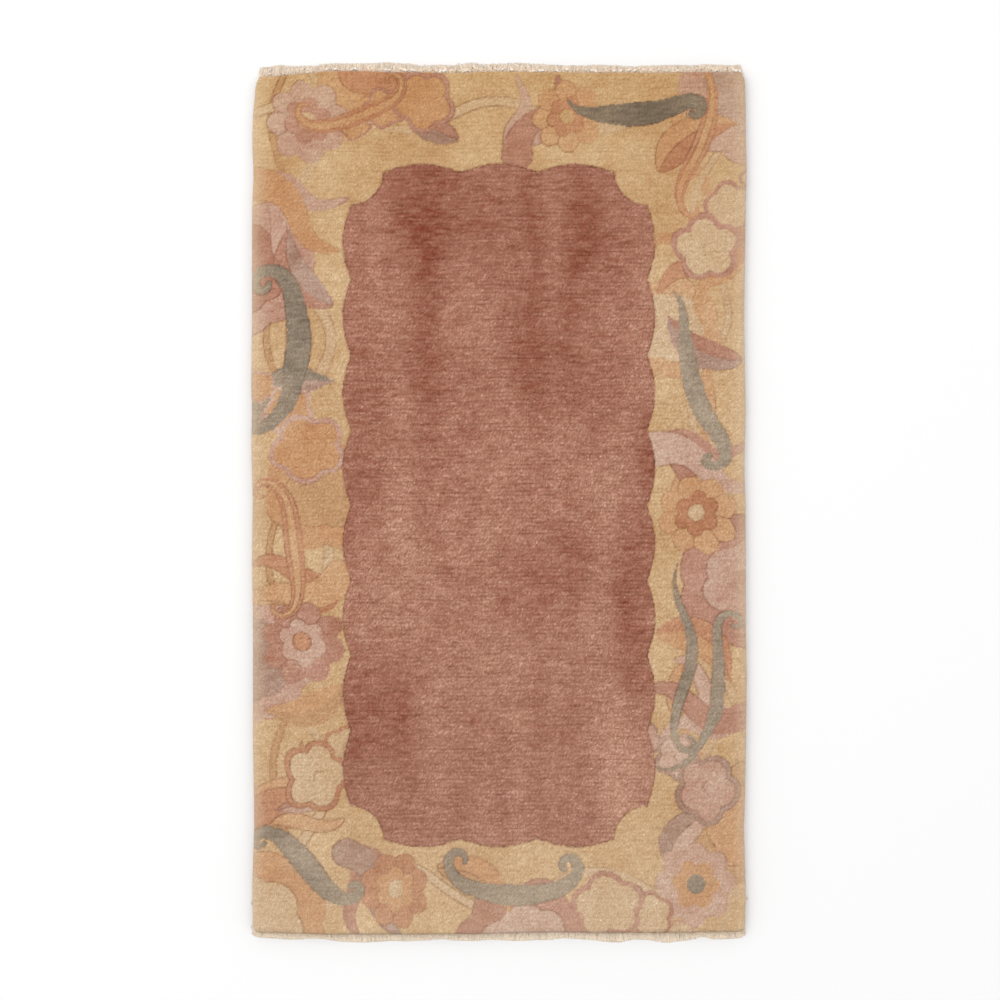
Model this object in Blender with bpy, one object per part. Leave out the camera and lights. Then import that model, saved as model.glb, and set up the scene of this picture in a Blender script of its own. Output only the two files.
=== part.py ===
"""A small hand-knotted rug of the Tibetan kind, lying flat with its pile up.

Metres, +Z up. The long way runs along Y, with the head end at +Y, and the width along X. The
origin is on the floor, under the middle of the whole rug.

The pieces are the ones that a rug maker would name:
  rug_body          the woven ground with its cut wool pile, one cloth. The pile leans out over
                    the edge all round, and is carved down in a groove along the scalloped
                    edge of the plain middle field.
  side_cord_left    the outer warps of the left side, overcast with wool into a cord
  side_cord_right   the same on the right
  head_fringe       the warp ends at the head, tied side by side in a row of knots
  foot_fringe       the warp ends at the foot, cut short and brushed out

A closed line round the rug is always sampled in the same order, counter-clockwise seen from
above: right side, head right corner, head end, head left corner, left side, foot left corner,
foot end, foot right corner. So any two such lines can be joined point by point.
"""

import bmesh
import bpy
import numpy as np


def columns(*rows):
    """A table's columns as arrays, under the names that its first row gives."""
    names, *numbers = rows
    return dict(zip(names, np.array(numbers).T))


# Driving sizes

PILE_LENGTH = 1.062
PILE_TOP = 0.0140
GAP = 0.0003  # between neighbouring pieces

# The stretch that each corner takes up, and how square it is, where 2 is round
CORNER = 0.020
SQUARENESS = {"head_right": 3.6, "head_left": 3.0, "foot_left": 5.0, "foot_right": 5.0}

# The finished edge of the two long sides, measured from the centre line
SIDES = columns(
    ("from_foot", "left", "right"),
    (0.000, 0.3030, 0.3042),
    (0.017, 0.3036, 0.3036),
    (0.055, 0.3044, 0.3044),
    (0.092, 0.3032, 0.3032),
    (0.128, 0.3020, 0.3020),
    (0.165, 0.3022, 0.3034),
    (0.239, 0.3034, 0.3046),
    (0.312, 0.3034, 0.3056),
    (0.386, 0.3034, 0.3044),
    (0.460, 0.3046, 0.3044),
    (0.534, 0.3036, 0.3040),
    (0.571, 0.3046, 0.3024),
    (0.608, 0.3056, 0.3034),
    (0.645, 0.3046, 0.3044),
    (0.681, 0.3056, 0.3034),
    (0.755, 0.3046, 0.3022),
    (0.829, 0.3046, 0.3034),
    (0.903, 0.3044, 0.3044),
    (0.940, 0.3024, 0.3056),
    (0.977, 0.3044, 0.3044),
    (1.014, 0.3034, 0.3044),
    (1.048, 0.3000, 0.3034),
    (1.062, 0.2985, 0.3030),
)

# The head end: how far the pile stops short of its length, and how far the fringe reaches
HEAD = columns(
    ("across", "short", "fringe"),
    (-0.3040, 0.0078, 0.0086),
    (-0.2737, 0.0062, 0.0120),
    (-0.2515, 0.0037, 0.0098),
    (-0.2294, 0.0014, 0.0086),
    (-0.2073, 0.0000, 0.0086),
    (-0.1630, 0.0000, 0.0098),
    (-0.1408, 0.0016, 0.0108),
    (-0.0966, 0.0012, 0.0078),
    (-0.0523, 0.0026, 0.0120),
    (-0.0080, 0.0002, 0.0108),
    (0.0363, 0.0012, 0.0098),
    (0.0806, 0.0012, 0.0078),
    (0.1248, 0.0022, 0.0086),
    (0.1470, 0.0014, 0.0078),
    (0.1913, 0.0022, 0.0098),
    (0.2355, 0.0012, 0.0086),
    (0.2798, 0.0012, 0.0086),
    (0.3040, 0.0026, 0.0080),
)

# The foot end, in the same way
FOOT = columns(
    ("across", "short", "fringe"),
    (-0.3040, 0.0037, 0.0068),
    (-0.2786, 0.0025, 0.0076),
    (-0.2343, 0.0012, 0.0078),
    (-0.2122, 0.0002, 0.0068),
    (-0.1900, 0.0007, 0.0088),
    (-0.1458, 0.0007, 0.0098),
    (-0.0793, 0.0007, 0.0088),
    (-0.0129, 0.0012, 0.0092),
    (0.0092, 0.0024, 0.0108),
    (0.0756, 0.0036, 0.0108),
    (0.1199, 0.0026, 0.0098),
    (0.1420, 0.0025, 0.0130),
    (0.1642, 0.0025, 0.0088),
    (0.2085, 0.0030, 0.0122),
    (0.2306, 0.0026, 0.0108),
    (0.2528, 0.0036, 0.0078),
    (0.2749, 0.0036, 0.0098),
    (0.3040, 0.0036, 0.0080),
)

# The rug's rim from the floor up to its top face: how far in from the finished edge, and how
# high, at the long sides and at the ends. The sides draw in below for the overcast cord.
RIM = columns(
    ("side_in", "side_up", "end_in", "end_up"),
    (0.0046, 0.0000, 0.0000, 0.0000),  # floor edge of the woven ground
    (0.0046, 0.0030, 0.0000, 0.0028),  # top edge of the woven ground
    (0.0044, 0.0046, 0.0022, 0.0036),  # roots of the pile
    (0.0016, 0.0062, 0.0010, 0.0056),  # pile leaning out
    (0.0006, 0.0090, 0.0000, 0.0088),  # its widest
    (0.0020, 0.0120, 0.0014, 0.0119),  # shoulder
    (0.0052, 0.0136, 0.0046, 0.0136),  # edge of the top
)
TOP_EDGE = 0.0090  # where the top face is level, in from the finished edge

# The plain middle field, with a quarter circle cut out of each corner and scallops between
FIELD_HALF_WIDTH = 0.182
FIELD_HALF_LENGTH = 0.410
FIELD_CENTRE = 0.527
FIELD_CORNER = 0.040
SCALLOP_DEPTH = 0.010
SIDE_SCALLOPS = 8
END_SCALLOPS = 3
GROOVE_HALF_WIDTH = 0.0032
GROOVE_DEPTH = 0.0032

# Where further lines run between the rim and the groove, as shares of the way to the groove,
# and between the groove and the field's centre, as shares of the way out from that centre
BORDER_SHARES = (0.30, 0.65)
FIELD_SHARES = (0.86, 0.45)

# The rug doesn't lie quite level: waves of this height, and their turns in radians a metre
SWELLS = columns(
    ("height", "across", "along", "shift"),
    (0.00022, 9.0, 5.2, 0.0),
    (0.00018, -6.0, 17.0, 1.1),
)

# How finely each stretch of a closed line is sampled
SIDE_STEPS = SIDE_SCALLOPS * 7
END_STEPS = END_SCALLOPS * 8
CORNER_STEPS = 6

# Overcast cord of each side
CORD_RADIUS = 0.0021
CORD_IN = 0.0021  # its middle, in from the finished edge
CORD_SIDES = 8
CORD_SHORT = 0.0065  # how far it stops short of each end

# A tied lock: how far along it, its width as a share of its pitch, its height, and the width
# of its upper side as a share of its lower
KNOTTED_LOCK = columns(
    ("along", "width", "height", "crown"),
    (0.26, 0.66, 0.0021, 0.80),  # neck, with a slit beside it
    (0.52, 0.93, 0.0034, 0.62),  # knot
    (0.76, 0.84, 0.0030, 0.62),
    (1.00, 0.78, 0.0014, 0.90),  # frayed tip
)

# A cut strand, in the same way
CUT_STRAND = columns(
    ("along", "width", "height", "crown"),
    (0.45, 0.84, 0.0023, 0.72),
    (1.00, 0.66, 0.0011, 0.85),
)

# The fringes: a woven strip next to the ground, and the locks beyond it. A lock's root and its
# lean vary within these shares of the pitch, and its length within these of its reach.
FRINGE_IN = 0.0115  # in from the finished edge of the sides
HEAD_FRINGE = {
    "locks": 60,
    "strip": 0.0016,
    "strip_height": 0.0024,
    "root": (0.60, 0.84),
    "length": (0.86, 1.00),
    "lean": 0.05,
    "shape": KNOTTED_LOCK,
    "seed": 11,
}
FOOT_FRINGE = {
    "locks": 116,
    "strip": 0.0034,
    "strip_height": 0.0022,
    "root": (0.80, 0.90),
    "length": (0.62, 1.00),
    "lean": 0.12,
    "shape": CUT_STRAND,
    "seed": 12,
}


# Lines round the rug


def side_x(side, y):
    """How far a long side's finished edge lies from the centre line at y."""
    return np.interp(y, SIDES["from_foot"], SIDES[side])


def head_y(x):
    return PILE_LENGTH - np.interp(x, HEAD["across"], HEAD["short"])


def foot_y(x):
    return np.interp(x, FOOT["across"], FOOT["short"])


def corner_turn(squareness):
    """Weights of a corner's start and end at each step between them, on a superellipse."""
    turn = np.linspace(0, np.pi / 2, CORNER_STEPS + 1)[1:-1]
    return np.cos(turn) ** (2 / squareness), np.sin(turn) ** (2 / squareness)


def corner_line(start, end, middle, squareness):
    """A corner from start to end about a middle point."""
    out, on = corner_turn(squareness)
    return middle + np.outer(out, start - middle) + np.outer(on, end - middle)


def side_samples():
    return np.linspace(CORNER, PILE_LENGTH - CORNER, SIDE_STEPS + 1)


def end_samples():
    """Places across an end, from left to right, between the two corners."""
    left, right = (SIDES[side].min() - CORNER for side in ("left", "right"))
    return np.linspace(-left, right, END_STEPS + 1)


def outline(side_in, end_in):
    """The rug's outline in plan, drawn in from the finished edge at its sides and its ends."""
    y = side_samples()
    x = end_samples()
    right = np.stack([side_x("right", y) - side_in, y], 1)
    left = np.stack([side_in - side_x("left", y), y], 1)[::-1]
    head = np.stack([x, head_y(x) - end_in], 1)[::-1]
    foot = np.stack([x, foot_y(x) + end_in], 1)
    stretches = [right, head, left, foot]
    line = []
    for number, squareness in enumerate(SQUARENESS.values()):
        start = stretches[number][-1]
        end = stretches[(number + 1) % 4][0]
        from_side = number % 2 == 0
        middle = np.array([end[0], start[1]] if from_side else [start[0], end[1]])
        line += [stretches[number], corner_line(start, end, middle, squareness)]
    return np.concatenate(line)


def end_share():
    """0 on the long sides, 1 on the ends, and between them round the corners."""
    turn = np.linspace(0, 1, CORNER_STEPS + 1)[1:-1]
    half = np.concatenate([np.zeros(SIDE_STEPS + 1), turn, np.ones(END_STEPS + 1), turn[::-1]])
    return np.concatenate([half, half])


def scallops(steps, count):
    """Outward bows along a stretch, each half a sine wave."""
    along = np.linspace(0, count, steps + 1)
    return SCALLOP_DEPTH * np.abs(np.sin(np.pi * along))


def field_line():
    """The edge of the plain field: scallops along each stretch, corners bitten out."""
    straight_y = FIELD_HALF_LENGTH - FIELD_CORNER
    straight_x = FIELD_HALF_WIDTH - FIELD_CORNER
    y = np.linspace(-straight_y, straight_y, SIDE_STEPS + 1)
    x = np.linspace(straight_x, -straight_x, END_STEPS + 1)
    right = np.stack([FIELD_HALF_WIDTH + scallops(SIDE_STEPS, SIDE_SCALLOPS), y], 1)
    head = np.stack([x, FIELD_HALF_LENGTH + scallops(END_STEPS, END_SCALLOPS)], 1)
    turn = np.linspace(0, np.pi / 2, CORNER_STEPS + 1)[1:-1]
    bite = np.stack([-np.sin(turn), -np.cos(turn)], 1) * FIELD_CORNER
    head_right = bite + (FIELD_HALF_WIDTH, FIELD_HALF_LENGTH)
    head_left = head_right[::-1] * (-1, 1)
    half = np.concatenate([right, head_right, head, head_left])
    return np.concatenate([half, -half]) + (0, FIELD_CENTRE)


def outward(line):
    """Unit normals of a closed counter-clockwise line, pointing out of it."""
    along = np.roll(line, -1, 0) - np.roll(line, 1, 0)
    across = np.stack([along[:, 1], -along[:, 0]], 1)
    return across / np.linalg.norm(across, axis=1, keepdims=True)


def lie(xy):
    """The small rise and fall of the pile's top, a sum of long waves."""
    rise = np.zeros(len(xy))
    for height, across, along, shift in zip(*SWELLS.values()):
        rise += height * np.sin(across * xy[:, 0] + along * xy[:, 1] + shift)
    return rise


def at_height(xy, z):
    return np.column_stack([xy, np.broadcast_to(z, len(xy))])


# Meshes and materials

SMOOTH_ANGLE = 50  # degrees; faces that meet more sharply show an edge


def clear_scene():
    for found in list(bpy.data.objects):
        bpy.data.objects.remove(found, do_unlink=True)


def wool(name, colour, roughness=0.92):
    material = bpy.data.materials.new(name)
    material.use_nodes = True
    shader = material.node_tree.nodes["Principled BSDF"]
    shader.inputs["Base Color"].default_value = (*colour, 1)
    shader.inputs["Roughness"].default_value = roughness
    shader.inputs["Metallic"].default_value = 0
    material.diffuse_color = (*colour, 1)
    return material


def add_piece(name, points, faces, material):
    """A mesh object of these points and faces, shaded smooth but for its sharper edges."""
    mesh = bpy.data.meshes.new(name)
    mesh.from_pydata([tuple(point) for point in points], [], faces)
    edit = bmesh.new()
    edit.from_mesh(mesh)
    bmesh.ops.recalc_face_normals(edit, faces=edit.faces)
    edit.to_mesh(mesh)
    edit.free()
    mesh.shade_smooth()
    mesh.set_sharp_from_angle(angle=np.radians(SMOOTH_ANGLE))
    mesh.materials.append(material)
    piece = bpy.data.objects.new(name, mesh)
    bpy.context.scene.collection.objects.link(piece)
    return piece


def ring_faces(count, length):
    """Quads that join each of count closed rings of this length to the next."""
    steps = np.arange(length)
    faces = []
    for ring in range(count - 1):
        a = ring * length + steps
        b = ring * length + (steps + 1) % length
        faces += np.stack([a, b, b + length, a + length], 1).tolist()
    return faces


# The rug itself


def rim_rings():
    """From the floor edge up and over to the edge of the top face."""
    share = end_share()
    rings = []
    for side_in, side_up, end_in, end_up in zip(*RIM.values()):
        up = side_up + (end_up - side_up) * share
        rings.append(at_height(outline(side_in, end_in), up))
    return rings


def top_rings():
    """From the edge of the top face in to the middle of the field, through the groove."""
    edge = outline(TOP_EDGE, TOP_EDGE)
    groove = field_line()
    out = outward(groove)
    outer_lip = groove + GROOVE_HALF_WIDTH * out
    inner_lip = groove - GROOVE_HALF_WIDTH * out
    centre = np.array([0, FIELD_CENTRE])
    border = [edge + share * (outer_lip - edge) for share in BORDER_SHARES]
    field = [centre + share * (inner_lip - centre) for share in FIELD_SHARES]
    rings = []
    for line in (edge, *border, outer_lip, groove, inner_lip, *field):
        depth = GROOVE_DEPTH if line is groove else 0
        rings.append(at_height(line, PILE_TOP + lie(line) - depth))
    return rings


def field_middle(first, ring):
    """A row of points up the field's middle, and the faces that close the last ring to it.

    ring holds the last ring's points, and first is the number of its first point."""
    length = len(ring)
    right = np.arange(SIDE_STEPS + 1)
    left = right + length // 2
    spine_y = ring[right, 1]
    spine = np.stack([np.zeros(SIDE_STEPS + 1), spine_y], 1)
    spine = at_height(spine, PILE_TOP + lie(spine))
    middle = first + length + right
    faces = []
    for step in range(SIDE_STEPS):
        up = SIDE_STEPS - step
        faces.append([first + right[step], first + right[step + 1], middle[step + 1], middle[step]])
        faces.append([first + left[step], first + left[step + 1], middle[up - 1], middle[up]])
    for step in range(right[-1], left[0]):
        faces.append([first + step, first + step + 1, middle[-1]])
    for step in range(left[-1], length):
        faces.append([first + step, first + (step + 1) % length, middle[0]])
    return spine, faces


def make_rug_body(material):
    rings = rim_rings() + top_rings()
    length = len(rings[0])
    faces = ring_faces(len(rings), length)
    faces.append(list(range(length))[::-1])
    spine, inner_faces = field_middle((len(rings) - 1) * length, rings[-1])
    return add_piece("rug_body", np.concatenate([*rings, spine]), faces + inner_faces, material)


# The overcast sides


def make_side_cord(name, side, sign, material):
    """A cord of round section along one side, in the hollow under the pile's lean."""
    at = sign * (side_x(side, PILE_LENGTH / 2) - CORD_IN)
    y = side_samples()
    y[0] = foot_y(at) + CORD_SHORT
    y[-1] = head_y(at) - CORD_SHORT
    middle = sign * (side_x(side, y) - CORD_IN)
    turn = 2 * np.pi * (np.arange(CORD_SIDES) + 0.5) / CORD_SIDES
    reach = CORD_RADIUS / np.cos(np.pi / CORD_SIDES)
    across = middle[:, None] + reach * np.cos(turn)
    up = np.broadcast_to(CORD_RADIUS + reach * np.sin(turn), across.shape)
    along = np.broadcast_to(y[:, None], across.shape)
    points = np.stack([across, along, up], 2).reshape(-1, 3)
    faces = ring_faces(len(y), CORD_SIDES)
    faces.append(list(range(CORD_SIDES)))
    faces.append(list(range(len(points) - CORD_SIDES, len(points)))[::-1])
    return add_piece(name, points, faces, material)


# The fringes


def strip_points(edge, build, stations):
    """The woven strip's sections, four points at each station across, along a line edge."""
    back = np.interp(stations, *edge.T) + GAP
    front = back + build["strip"]
    floor = np.zeros(len(stations))
    top = np.full(len(stations), build["strip_height"])
    corners = [(back, floor), (front, floor), (front, top), (back, top)]
    sections = [np.stack([stations, y, z], 1) for y, z in corners]
    return np.stack(sections, 1).reshape(-1, 3)


def strip_faces(stations):
    """The strip's faces, but for those of its far side from which a lock grows."""
    faces = [[0, 1, 2, 3]]
    for station in range(stations - 1):
        a = 4 * station
        b = a + 4
        faces.append([a, b, b + 1, a + 1])
        faces.append([a + 3, a + 2, b + 2, b + 3])
        faces.append([a, a + 3, b + 3, b])
        between_locks = station % 2 == 1
        if between_locks:
            faces.append([a + 1, b + 1, b + 2, a + 2])
    last = 4 * (stations - 1)
    faces.append([last, last + 3, last + 2, last + 1])
    return faces


def lock_points(x, start, length, pitch, lean, shape):
    """The sections of one lock beyond its root, four points each, its underside level."""
    rings = []
    for along, width, height, crown in zip(*shape.values()):
        middle = x + lean * along
        y = start + length * along
        low = width * pitch / 2
        high = low * crown
        rings.append((middle - low, y, 0))
        rings.append((middle + low, y, 0))
        rings.append((middle + high, y, height))
        rings.append((middle - high, y, height))
    return rings


def lock_faces(root, first, sections):
    """The faces that carry a lock from its four root points through its sections to its tip."""
    faces = []
    for section in range(sections):
        ring = [first + 4 * section + corner for corner in range(4)]
        for corner in range(4):
            after = (corner + 1) % 4
            faces.append([root[corner], root[after], ring[after], ring[corner]])
        root = ring
    faces.append(root)
    return faces


def fringe_mesh(edge, low, high, reaches, build):
    """A woven strip along a line, from x low to x high, with its locks, all pointing along +Y.

    reaches gives the longest reach from the line, as places across and their lengths."""
    random = np.random.default_rng(build["seed"])
    count = build["locks"]
    pitch = (high - low) / count
    middle = low + pitch * (np.arange(count) + 0.5)
    root_half = pitch * random.uniform(*build["root"], count) / 2
    length = np.interp(middle, *reaches) * random.uniform(*build["length"], count)
    lean = pitch * random.uniform(-build["lean"], build["lean"], count)
    stations = np.stack([middle - root_half, middle + root_half], 1).ravel()
    points = strip_points(edge, build, stations)
    faces = strip_faces(len(stations))
    sections = len(build["shape"]["along"])
    added = [points]
    first = len(points)
    for number in range(count):
        a = 8 * number
        start = points[[a + 1, a + 5], 1].mean()
        free = length[number] - build["strip"] - GAP
        added.append(
            lock_points(middle[number], start, free, pitch, lean[number], build["shape"])
        )
        faces += lock_faces([a + 1, a + 5, a + 6, a + 2], first, sections)
        first += 4 * sections
    return np.concatenate(added), faces


def make_head_fringe(material):
    line = outline(RIM["side_in"][0], RIM["end_in"][0])
    edge = line[SIDE_STEPS : len(line) // 2 + 1][::-1]
    low = FRINGE_IN - side_x("left", PILE_LENGTH)
    high = side_x("right", PILE_LENGTH) - FRINGE_IN
    reaches = HEAD["across"], HEAD["fringe"]
    points, faces = fringe_mesh(edge, low, high, reaches, HEAD_FRINGE)
    return add_piece("head_fringe", points, faces, material)


def make_foot_fringe(material):
    """Worked out with the rug turned half round, so that it also points along +Y."""
    line = outline(RIM["side_in"][0], RIM["end_in"][0])
    half = len(line) // 2
    edge = -np.roll(line, -half, axis=0)[SIDE_STEPS : half + 1][::-1]
    low = FRINGE_IN - side_x("right", 0)
    high = side_x("left", 0) - FRINGE_IN
    reaches = -FOOT["across"][::-1], FOOT["fringe"][::-1]
    points, faces = fringe_mesh(edge, low, high, reaches, FOOT_FRINGE)
    return add_piece("foot_fringe", points * (-1, -1, 1), faces, material)


def centre_on_floor(pieces):
    """Moves every piece's points so that the whole rug's box stands centred on the origin."""
    points = [vertex.co for piece in pieces for vertex in piece.data.vertices]
    middle_x = (min(p.x for p in points) + max(p.x for p in points)) / 2
    middle_y = (min(p.y for p in points) + max(p.y for p in points)) / 2
    for point in points:
        point.x -= middle_x
        point.y -= middle_y


def main():
    clear_scene()
    pile = wool("wool pile", (0.42, 0.20, 0.13))
    overcast = wool("overcast wool", (0.42, 0.33, 0.26))
    warp = wool("cotton warp", (0.72, 0.60, 0.47), roughness=0.85)
    pieces = [
        make_rug_body(pile),
        make_side_cord("side_cord_left", "left", -1, overcast),
        make_side_cord("side_cord_right", "right", 1, overcast),
        make_head_fringe(warp),
        make_foot_fringe(warp),
    ]
    centre_on_floor(pieces)


main()
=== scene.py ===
# %% [markdown]
# # A small hand-knotted wool rug
#
# The real rug is one cloth. Cotton warps run its length, wool is knotted round them row by row,
# and the knots' ends are cut to a soft pile. The maker then overcasts the two sides, ties the
# warp ends at the head, brushes them out at the foot, and cuts a groove round every motif.
#
# The scene follows that order: outline, knots, colours, carving, edges, fringes. Each surface
# is worked out as whole numpy arrays, since a loop over fifty thousand knots would be slow.

import bpy
import numpy as np
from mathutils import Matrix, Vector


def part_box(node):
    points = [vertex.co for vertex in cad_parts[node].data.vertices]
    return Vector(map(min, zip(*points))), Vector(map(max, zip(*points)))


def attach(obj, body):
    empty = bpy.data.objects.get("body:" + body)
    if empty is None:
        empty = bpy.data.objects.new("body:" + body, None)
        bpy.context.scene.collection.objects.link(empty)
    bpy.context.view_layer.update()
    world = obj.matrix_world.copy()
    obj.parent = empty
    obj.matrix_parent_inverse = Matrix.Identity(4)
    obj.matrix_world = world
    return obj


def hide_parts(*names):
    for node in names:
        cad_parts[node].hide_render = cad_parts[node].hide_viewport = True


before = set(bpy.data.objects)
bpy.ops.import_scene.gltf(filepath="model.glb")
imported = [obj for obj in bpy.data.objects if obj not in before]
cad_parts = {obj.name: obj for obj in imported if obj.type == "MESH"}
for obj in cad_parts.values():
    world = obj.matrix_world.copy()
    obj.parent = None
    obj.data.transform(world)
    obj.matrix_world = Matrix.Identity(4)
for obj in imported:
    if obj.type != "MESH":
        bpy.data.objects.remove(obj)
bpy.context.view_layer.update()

# %% [markdown]
# ## Measures, colours and noise
#
# Blender works in metres and in linear light, a maker in millimetres, and a dyer in the
# colours that the eye sees. Real wool is never even either, and the size of its unevenness
# counts as much as its amount, so soft noise is blurred over so many grid steps each way.

# %% Helpers for measures, colours and noise
MM = 0.001


def linear(code):
    """A hex colour as linear light. Each part c, 0 to 1, is ((c + 0.055) / 1.055) to the 2.4."""
    parts = np.array([int(code[at : at + 2], 16) for at in (1, 3, 5)]) / 255
    return ((parts + 0.055) / 1.055) ** 2.4


def blend(low, high, share):
    """low where share is 0, high where it is 1, and evenly between."""
    return low + (high - low) * share


def soft_noise(shape, across, along, seed):
    """Random numbers of spread 1, blurred over so many columns and rows.

    The noise's spectrum is multiplied by exp(-2 (pi f s)^2), which is a Gaussian blur of s."""
    random = np.random.default_rng(seed)
    spectrum = np.fft.fft2(random.standard_normal(shape))
    row_waves = np.fft.fftfreq(shape[0])[:, None] * along
    column_waves = np.fft.fftfreq(shape[1])[None, :] * across
    spectrum *= np.exp(-2 * np.pi**2 * (row_waves**2 + column_waves**2))
    noise = np.fft.ifft2(spectrum).real
    return noise / noise.std()


print("gold wool in linear light:", linear("#C9A873").round(3))

# %% [markdown]
# ## The outline
#
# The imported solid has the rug's true outline, uneven as it is, so it is read from there and
# not written twice. The pile leans out over its roots, and its widest line has one known
# height at the sides and one at the ends. The solid's corners at those heights are the
# outline's points. Each of the four edges becomes a function of the place along it.

# %% Read the four edges from the solid
SIDE_BELLY = 9.0 * MM  # height of the widest line at the long sides, and at the ends
END_BELLY = 8.8 * MM
NEAR = 0.02 * MM


def solid_points(node):
    """The corners of a CAD node's mesh, each once."""
    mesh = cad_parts[node].data
    points = np.empty(3 * len(mesh.vertices), np.float32)
    mesh.vertices.foreach_get("co", points)
    return np.unique(points.reshape(-1, 3).astype(float).round(6), axis=0)


def belly_line(points, height, axis, sign):
    """One edge's widest line: the places along it, and where the edge is at each."""
    at_height = np.abs(points[:, 2] - height) < NEAR
    line = points[at_height & (sign * points[:, axis] > 0)]
    line = line[np.argsort(line[:, 1 - axis])]
    return line[:, 1 - axis], line[:, axis]


body_points = solid_points("rug_body")
EDGES = {
    "left": belly_line(body_points, SIDE_BELLY, 0, -1),
    "right": belly_line(body_points, SIDE_BELLY, 0, 1),
    "foot": belly_line(body_points, END_BELLY, 1, -1),
    "head": belly_line(body_points, END_BELLY, 1, 1),
}


def edge(name, along):
    """Where an edge lies at these places along it."""
    return np.interp(along, *EDGES[name])


WIDTH = EDGES["right"][1].mean() - EDGES["left"][1].mean()
LENGTH = EDGES["head"][1].mean() - EDGES["foot"][1].mean()
MIDDLE_Y = (EDGES["head"][1].mean() + EDGES["foot"][1].mean()) / 2
print("pile:", round(WIDTH, 4), "by", round(LENGTH, 4), "m, from", len(body_points), "points")

# %% [markdown]
# ## A map from the loom to the floor
#
# On the loom the rug is a rectangle of rows and knots. On the floor it is a little wider here
# and shorter there, with soft corners. `plan` turns one into the other: u runs 0 to 1 across
# the knots and v from the foot to the head. A square corner is drawn in to a superellipse by
# scaling, so the distance from the edge, which the pile's shoulder needs, stays easy to know.

# %% Map rows and knots to the floor
CORNER = 20 * MM
SQUARENESS = {"left": (5.0, 2.6), "right": (5.0, 3.2)}  # at the foot and at the head; 2 is round
LOWERED = {1: 1.0, -1: 0.3}  # how far a corner is drawn in along the rug, at the foot and head
FOOT_REACH = 2.0 * MM  # the last rows of the foot lean out by this much
FOOT_POWER = 30  # the larger, the fewer rows lean


def plan(u, v):
    """Floor place of the point u across and v along, and its distance in from the edge.

    Before the corners are rounded, x is u of the way between the side edges at that level,
    and y is v of the way between the end edges there, less the foot's reach (1 - v)^power. In
    a corner patch a and b run from 0 at its inner sides to 1 at the rug's edges. Both are
    scaled by max(a, b) over the superellipse radius (a^n + b^n)^(1/n), b by a share of it."""
    level = MIDDLE_Y + (v - 0.5) * LENGTH
    across = (u - 0.5) * WIDTH
    x = blend(edge("left", level), edge("right", level), u)
    y = blend(edge("foot", across), edge("head", across), v)
    y = y - FOOT_REACH * (1 - v) ** FOOT_POWER
    for side, side_gap, inward in (("left", u, 1), ("right", 1 - u, -1)):
        for squareness, end_gap, upward in zip(SQUARENESS[side], (v, 1 - v), (1, -1)):
            a = np.maximum(1 - side_gap * WIDTH / CORNER, 0)
            b = np.maximum(1 - end_gap * LENGTH / CORNER, 0)
            radius = np.maximum((a**squareness + b**squareness) ** (1 / squareness), 1e-9)
            drawn = np.where((a > 0) & (b > 0), 1 - np.maximum(a, b) / radius, 0)
            x = x + inward * drawn * a * CORNER
            y = y + upward * LOWERED[upward] * drawn * b * CORNER
    inset = np.minimum(np.minimum(u, 1 - u) * WIDTH, np.minimum(v, 1 - v) * LENGTH)
    return x, y, np.broadcast_to(inset, x.shape)


corner_x, corner_y, _ = plan(np.array([0.0, 1.0]), np.array([1.0, 1.0]))
print("head corners:", corner_x.round(4), corner_y.round(4))

# %% [markdown]
# ## Rows and knots
#
# In the photo the rows repeat every 4.7 mm, and a knot is about 2.8 mm wide. The pile's top
# gets two points across each knot and three along each row, one of them in the valley between
# two rows: as few as will show every tuft. A few more lines at the edges catch the shoulder.
#
# A weaver's rows wander by a millimetre or so, and every tuft leans its own way. Both are
# added to the map here, so that colours, carving and relief all follow them.

# %% Lay out the points of the pile's top
ROWS = 225
KNOTS = 218
KNOT_PHASES = (0.25, 0.75)
ROW_PHASES = (0.0, 1 / 3, 2 / 3)
SIDE_LINES = (0.0, 0.25 * MM)  # insets of the extra lines
END_LINES = (0.0, 0.3 * MM, 0.8 * MM)
ROW_WANDER = 0.9 * MM
STEADY = 30 * MM  # how near the edges the rows begin to wander less
TUFT_LEAN = 0.30 * MM


def grid_lines(count, phases, insets, size):
    """Places from 0 to 1: the same phases in every step, and the insets at both ends."""
    inner = (np.arange(count)[:, None] + np.array(phases)).ravel() / count
    near = np.array(insets) / size
    inner = inner[(inner > near[-1]) & (inner < 1 - near[-1])]
    return np.concatenate([near, inner, 1 - near[::-1]])


def drift(across, along, seed):
    """Soft noise for every point of the top."""
    return soft_noise(top_x.shape, across, along, seed)


top_u = grid_lines(KNOTS, KNOT_PHASES, SIDE_LINES, WIDTH)
top_v = grid_lines(ROWS, ROW_PHASES, END_LINES, LENGTH)
in_knot = np.minimum((top_u * KNOTS).astype(int), KNOTS - 1)[None, :]
in_row = np.minimum((top_v * ROWS + 1e-6).astype(int), ROWS - 1)[:, None]
in_valley = np.abs(top_v * ROWS - np.round(top_v * ROWS)) < 1e-6
in_valley[[0, -1]] = False

rim_x, rim_y, inset = plan(top_u[None, :], top_v[:, None])
waves = np.sin(16 * top_u + 9 * top_v[:, None]) + np.sin(7 * top_u - 21 * top_v[:, None] + 2)
tuft_lean = np.random.default_rng(1).uniform(-TUFT_LEAN, TUFT_LEAN, (2, ROWS, KNOTS))
top_x = rim_x + tuft_lean[0, in_row, in_knot]
top_y = rim_y + tuft_lean[1, in_row, in_knot] * ~in_valley[:, None]
top_y += 0.5 * ROW_WANDER * waves * np.clip(inset / STEADY, 0, 1)
print("knots:", ROWS * KNOTS, "points of the top:", top_x.size)

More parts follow.
